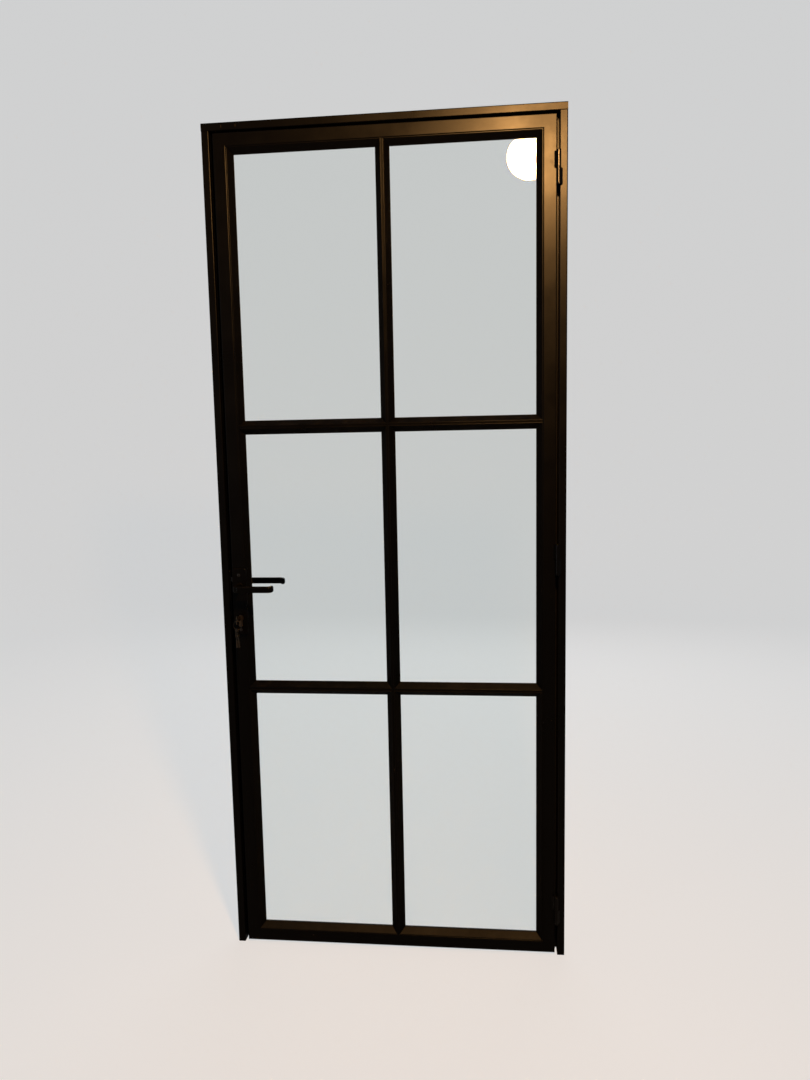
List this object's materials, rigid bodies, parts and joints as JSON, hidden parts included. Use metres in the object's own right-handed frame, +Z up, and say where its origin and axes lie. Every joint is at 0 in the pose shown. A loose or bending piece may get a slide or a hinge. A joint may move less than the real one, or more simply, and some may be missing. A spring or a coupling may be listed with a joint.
{
  "type": "glazed steel door",
  "caption": "Slim steel-framed glass door hung in its own steel frame, with glazing bars, lift-off hinges, lever handles, a latch, a bolt and a key cylinder.",
  "frame": {"origin": "middle of the frame's width and of the whole door's depth, on the floor", "axes": "+X to the hinge side, +Y away from the side that the leaf opens towards, +Z up"},
  "size_m": [0.9334, 0.159, 2.257],
  "materials": {
    "black_coat": "satin",
    "clear_glass": "clear",
    "bare_steel": "bright",
    "brass": "satin",
    "black_rubber": "matte",
    "black_plastic": "matte"
  },
  "bodies": {
    "frame": {"jamb_lock_side": "black_coat", "jamb_hinge_side": "black_coat", "head": "black_coat", "frame_stops": "black_coat", "frame_seal": "black_rubber", "strike_plate": "black_coat", "strike_screws": "black_coat", "hinge_frame_knuckles": "black_coat", "hinge_pins": "bare_steel", "hinge_washers": "brass"},
    "leaf": {"stile_lock_side": "black_coat", "stile_hinge_side": "black_coat", "top_rail": "black_coat", "bottom_rail": "black_coat", "vertical_bar": "black_coat", "bar_under_middle_left": "black_coat", "bar_under_middle_right": "black_coat", "bar_under_upper_left": "black_coat", "bar_under_upper_right": "black_coat", "beads_lower_left": "black_coat", "beads_lower_right": "black_coat", "beads_middle_left": "black_coat", "beads_middle_right": "black_coat", "beads_upper_left": "black_coat", "beads_upper_right": "black_coat", "bead_studs": "bare_steel", "pane_lower_left": "clear_glass", "pane_lower_right": "clear_glass", "pane_middle_left": "clear_glass", "pane_middle_right": "clear_glass", "pane_upper_left": "clear_glass", "pane_upper_right": "clear_glass", "glazing_tape": "black_rubber", "setting_blocks": "black_plastic", "hinge_leaf_knuckles": "black_coat", "plate_inside": "black_coat", "plate_outside": "black_coat", "plate_screws": "black_coat", "handle_bushes": "black_plastic", "lock_lugs": "black_coat", "lock_case": "bare_steel", "lock_cover": "bare_steel", "faceplate": "bare_steel", "faceplate_screws": "bare_steel", "cylinder_body": "brass", "cylinder_rear_plug": "brass", "cylinder_screw": "bare_steel"},
    "handle": {"lever_inside": "black_coat", "lever_outside": "black_coat", "spindle": "bare_steel", "grub_screws": "bare_steel", "follower": "bare_steel"},
    "latch": {"latch_bolt": "bare_steel"},
    "bolt": {"dead_bolt": "bare_steel"},
    "key_plug": {"cylinder_plug": "brass", "cylinder_cam": "bare_steel", "key": "brass"},
    "hanging_keys": {"key_ring": "bare_steel", "spare_keys": "brass"}
  },
  "joints": [
    {"name": "leaf_swing", "type": "hinge", "parent": "frame", "child": "leaf", "pos_m": [0.4435, -0.0212, 0], "axis": [0, 0, 1], "range_deg": [0, 90]},
    {"name": "handle_turn", "type": "hinge", "parent": "leaf", "child": "handle", "pos_m": [-0.41575, 0, 1.0485], "axis": [0, 1, 0], "range_deg": [0, 38], "stiffness_Nm_per_rad": 1.2, "springref_deg": -28.65},
    {"name": "latch_slide", "type": "slide", "parent": "leaf", "child": "latch", "axis": [1, 0, 0], "range_m": [0, 0.012]},
    {"name": "key_turn", "type": "hinge", "parent": "leaf", "child": "key_plug", "pos_m": [-0.41575, 0, 0.9605], "axis": [0, 1, 0], "range_deg": [0, 360]},
    {"name": "bolt_slide", "type": "slide", "parent": "leaf", "child": "bolt", "axis": [-1, 0, 0], "range_m": [0, 0.014]},
    {"name": "ring_swing", "type": "hinge", "parent": "key_plug", "child": "hanging_keys", "pos_m": [-0.41575, -0.055, 0.958], "axis": [1, 0, 0], "range_deg": [-35, 12]}
  ],
  "couplings": [
    {"joint": "latch_slide", "follows": "handle_turn", "m_per_rad": 0.018093},
    {"joint": "bolt_slide", "follows": "key_turn", "m_per_rad": 0.0022282}
  ]
}
